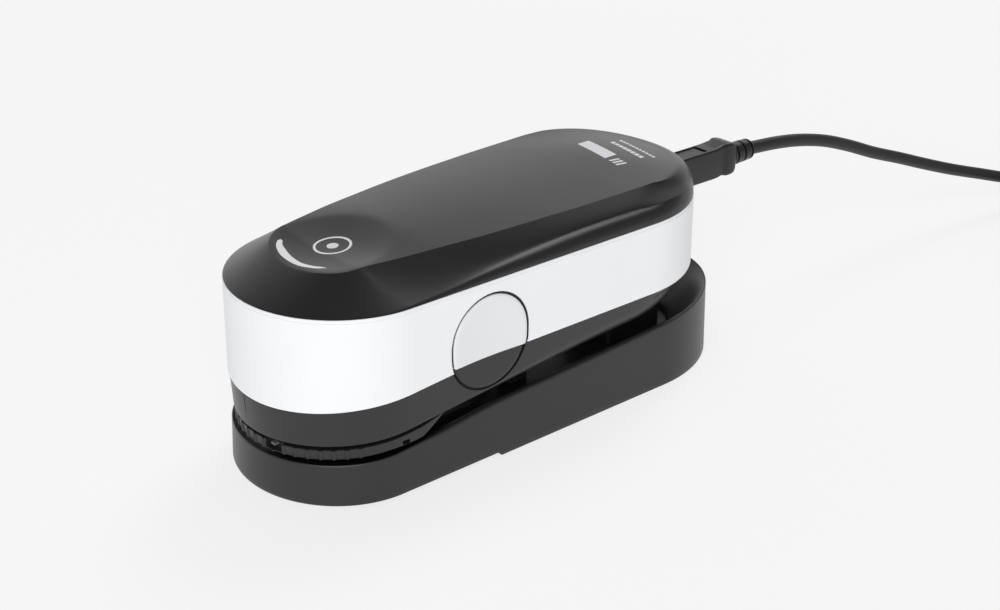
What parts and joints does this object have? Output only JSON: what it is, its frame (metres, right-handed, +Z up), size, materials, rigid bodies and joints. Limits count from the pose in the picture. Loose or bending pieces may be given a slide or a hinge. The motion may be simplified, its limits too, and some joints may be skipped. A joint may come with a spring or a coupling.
{
  "type": "hand-held spectrophotometer on its calibration base",
  "caption": "Hand-held colour-measuring instrument: dark domed top, white side band, round side buttons, nose aperture, seated on a sloping calibration base, with a data lead.",
  "frame": {"origin": "under the middle of the base, on the surface that it stands on", "axes": "+Z up, +Y towards the instrument's tail, where the lead leaves, +X to the instrument's side that has the near button when the nose points to the left front"},
  "size_m": [0.1232, 0.399, 0.0714],
  "materials": {
    "soft_touch_shell": "fine matt soft-touch paint",
    "white_plastic": "smooth satin",
    "dark_plastic": "fine moulded grain",
    "base_plastic": "fine moulded grain",
    "black_plastic": "fine moulded grain",
    "lead_rubber": "smooth cable jacket",
    "rubber": "plain rubber",
    "steel": "nickel plated",
    "aluminium": "machined",
    "window_glass": "clear, polished",
    "light_guide": "frosted light guide",
    "white_ceramic": "white glazed tile",
    "circuit_board": "green solder mask"
  },
  "bodies": {
    "base": {"base_tray": "base_plastic", "bottom_plate": "base_plastic", "base_screw_1": "steel", "base_screw_2": "steel", "base_screw_3": "steel", "base_screw_4": "steel", "base_foot_1": "rubber", "base_foot_2": "rubber", "base_foot_3": "rubber", "base_foot_4": "rubber", "cover_rail_right": "base_plastic", "cover_rail_left": "base_plastic", "rest_pad_right": "rubber", "rest_pad_left": "rubber", "tail_saddle": "base_plastic", "tile_holder": "base_plastic", "white_tile": "white_ceramic", "lead_cable": "lead_rubber", "lead_coil": "lead_rubber", "coil_tie": "rubber", "lead_end": "lead_rubber", "far_plug_relief": "lead_rubber", "far_plug_body": "lead_rubber", "far_plug_shell": "steel"},
    "tile_cover": {"tile_cover": "dark_plastic"},
    "instrument": {"top_shell": "soft_touch_shell", "status_light": "light_guide", "side_band": "white_plastic", "lower_housing": "dark_plastic", "nose_flange": "black_plastic", "nose_strip": "dark_plastic", "nose_latch": "steel", "measuring_foot": "black_plastic", "aperture_ring": "steel", "aperture_window": "window_glass", "lamp_ring": "light_guide", "optics_barrel": "black_plastic", "optics_block": "black_plastic", "grating_housing": "aluminium", "inner_chassis": "black_plastic", "main_board": "circuit_board", "sensor_module": "steel", "socket_board": "circuit_board", "status_board": "circuit_board", "usb_socket": "steel", "housing_screw_1": "steel", "housing_screw_2": "steel", "housing_screw_3": "steel", "housing_screw_4": "steel", "switch_right": "steel", "switch_left": "steel", "plug_tongue": "steel", "plug_body": "lead_rubber", "plug_relief": "lead_rubber"},
    "button_right": {"button_right_upper": "white_plastic", "button_right_lower": "dark_plastic", "button_right_plunger": "dark_plastic"},
    "button_left": {"button_left_upper": "white_plastic", "button_left_lower": "dark_plastic", "button_left_plunger": "dark_plastic"}
  },
  "joints": [
    {"name": "instrument_lift", "type": "slide", "parent": "base", "child": "instrument", "axis": [0, 0, 1], "range_m": [0, 0.03]},
    {"name": "tile_cover_slide", "type": "slide", "parent": "base", "child": "tile_cover", "axis": [0, 1, 0], "range_m": [0, 0.026]},
    {"name": "button_right_press", "type": "slide", "parent": "instrument", "child": "button_right", "axis": [-1, 0, 0], "range_m": [0, 0.0012], "stiffness_N_per_m": 600},
    {"name": "button_left_press", "type": "slide", "parent": "instrument", "child": "button_left", "axis": [1, 0, 0], "range_m": [0, 0.0012], "stiffness_N_per_m": 600}
  ]
}
